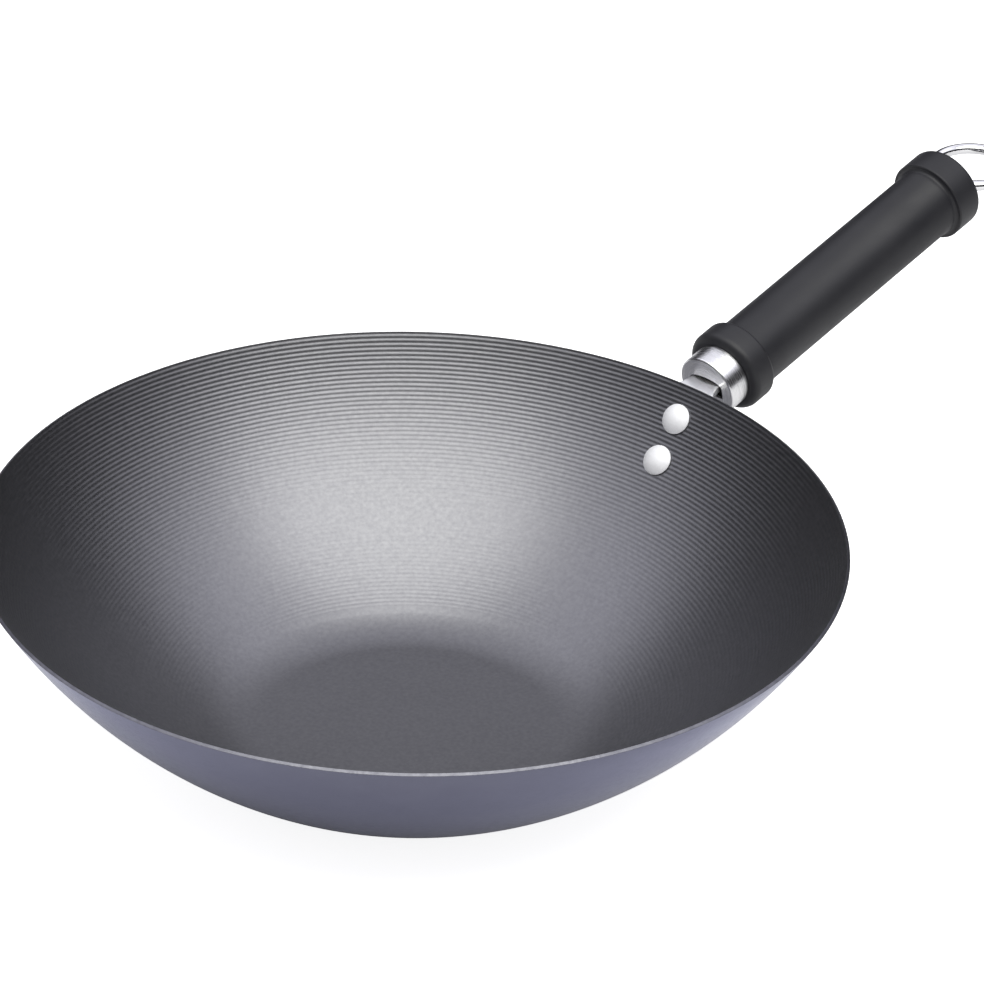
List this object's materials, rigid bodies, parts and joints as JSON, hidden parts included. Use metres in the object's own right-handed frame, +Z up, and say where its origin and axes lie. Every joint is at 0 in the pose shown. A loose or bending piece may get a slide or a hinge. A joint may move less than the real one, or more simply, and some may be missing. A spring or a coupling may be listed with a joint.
{
  "type": "wok",
  "caption": "Round spun-steel wok with a flat base, grooved inner wall, riveted strap bracket, plated ferrule, black moulded stick grip and a swinging hanging ring.",
  "frame": {"origin": "centre of the flat base's underside, where the wok rests on a hob or table", "axes": "+X along the handle's run as seen from above, +Z up along the bowl's axis, +Y to the left of the handle"},
  "size_m": [0.4847, 0.3, 0.1231],
  "materials": {
    "coated_steel": "dark grey coated carbon steel, satin, with fine spun rings on the inner wall",
    "rivet_metal": "satin polished rivet heads",
    "bright_plate": "bright plated steel with fine turning marks",
    "plain_steel": "plain machined steel, out of sight inside the handle",
    "black_moulding": "satin black moulded phenolic"
  },
  "bodies": {
    "wok": {"wok_bowl": "coated_steel", "rivet_upper": "rivet_metal", "rivet_lower": "rivet_metal", "handle_bracket": "bright_plate", "ferrule": "bright_plate", "threaded_socket": "plain_steel", "seat_washer": "plain_steel", "grip": "black_moulding", "tail_washer": "bright_plate", "eye_bolt": "bright_plate"},
    "ring": {"hanging_ring": "bright_plate"}
  },
  "joints": [
    {"name": "ring_swing", "type": "hinge", "parent": "wok", "child": "ring", "pos_m": [0.30274, 0, 0.10846], "axis": [0, 1, 0], "range_deg": [-100, 80]}
  ]
}
